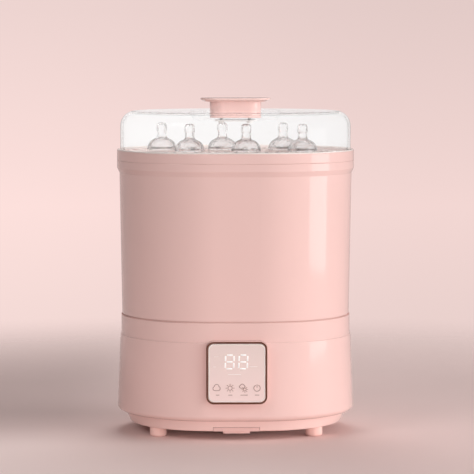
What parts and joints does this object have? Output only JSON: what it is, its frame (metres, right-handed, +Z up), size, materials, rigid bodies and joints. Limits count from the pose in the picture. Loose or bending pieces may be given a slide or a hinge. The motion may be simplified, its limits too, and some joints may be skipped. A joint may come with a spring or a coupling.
{
  "type": "baby bottle steam steriliser and dryer",
  "caption": "Oblong countertop steam steriliser and dryer: heated fan base, lift-off chamber with bottle rack, clear-lidded top tray and slide-out air filter.",
  "frame": {"origin": "on the surface it stands on, under the middle of the oblong casing", "axes": "+Z up, front with the control pod towards -Y, +X to the right as seen from the front"},
  "size_m": [0.285, 0.2461, 0.4002],
  "materials": {
    "pink_gloss": "glossy moulded plastic",
    "pink_rubber": "soft rubber",
    "white_plastic": "satin moulded plastic",
    "clear_plastic": "clear moulded plastic",
    "silicone": "translucent silicone",
    "copper_trim": "brushed copper tone",
    "panel_gloss": "gloss face",
    "board_green": "solder mask",
    "steel": "bright steel",
    "coated_aluminium": "non-stick coating",
    "black_plastic": "black moulded plastic",
    "ceramic_heater": "ceramic",
    "magnet": "sintered iron",
    "bronze": "sintered bronze",
    "filter_foam": "fine open foam"
  },
  "bodies": {
    "base": {"base_housing": "pink_gloss", "bottom_pan": "pink_gloss", "feet": "pink_rubber", "pan_screws": "steel", "base_deck": "white_plastic", "control_pod": "pink_gloss", "panel_trim": "copper_trim", "panel_face": "panel_gloss", "display_board": "board_green", "digit_display": "black_plastic", "touch_springs": "steel", "inlet_socket": "black_plastic", "inlet_blades": "steel", "inlet_screws": "steel", "inlet_leads": "black_plastic", "heating_plate": "coated_aluminium", "plate_gasket": "silicone", "heating_element": "steel", "thermostat_strap": "steel", "thermostat": "steel", "thermal_fuse": "black_plastic", "fan_housing": "black_plastic", "fan_cover": "black_plastic", "motor_can": "steel", "motor_bushes": "bronze", "fan_screws": "steel", "air_duct": "black_plastic", "air_heater": "ceramic_heater", "air_tower": "white_plastic", "tower_cap": "white_plastic", "tower_seal": "silicone", "power_board": "board_green", "transformer": "magnet", "relay": "black_plastic", "terminal_block": "black_plastic"},
    "fan_rotor": {"fan_wheel": "black_plastic", "fan_shaft": "steel", "motor_magnet": "magnet"},
    "filter": {"filter_drawer": "pink_gloss", "air_filter": "filter_foam"},
    "rack": {"rack_plate": "white_plastic", "rack_legs": "white_plastic", "bottle_spikes": "white_plastic", "rack_post": "white_plastic"},
    "chamber": {"chamber_wall": "pink_gloss", "chamber_seal": "silicone"},
    "upper_tray": {"tray_rim": "pink_gloss", "tray_grid": "clear_plastic", "teat_1": "silicone", "teat_2": "silicone", "teat_3": "silicone", "teat_4": "silicone", "teat_5": "silicone", "teat_6": "silicone"},
    "lid": {"lid_shell": "clear_plastic", "handle_plate": "pink_gloss", "handle_stem": "pink_gloss", "handle_seal": "silicone", "handle_backing": "white_plastic", "handle_screws": "steel"}
  },
  "joints": [
    {"name": "rack_lift", "type": "slide", "parent": "base", "child": "rack", "axis": [0, 0, 1], "range_m": [0, 0.03]},
    {"name": "chamber_lift", "type": "slide", "parent": "base", "child": "chamber", "axis": [0, 0, 1], "range_m": [0, 0.16]},
    {"name": "tray_lift", "type": "slide", "parent": "chamber", "child": "upper_tray", "axis": [0, 0, 1], "range_m": [0, 0.06]},
    {"name": "lid_lift", "type": "slide", "parent": "upper_tray", "child": "lid", "axis": [0, 0, 1], "range_m": [0, 0.08]},
    {"name": "filter_slide", "type": "slide", "parent": "base", "child": "filter", "axis": [0, -1, 0], "range_m": [0, 0.075]},
    {"name": "fan_spin", "type": "hinge", "parent": "base", "child": "fan_rotor", "pos_m": [0, -0.04, 0.0412], "axis": [0, 0, 1], "continuous": true}
  ]
}
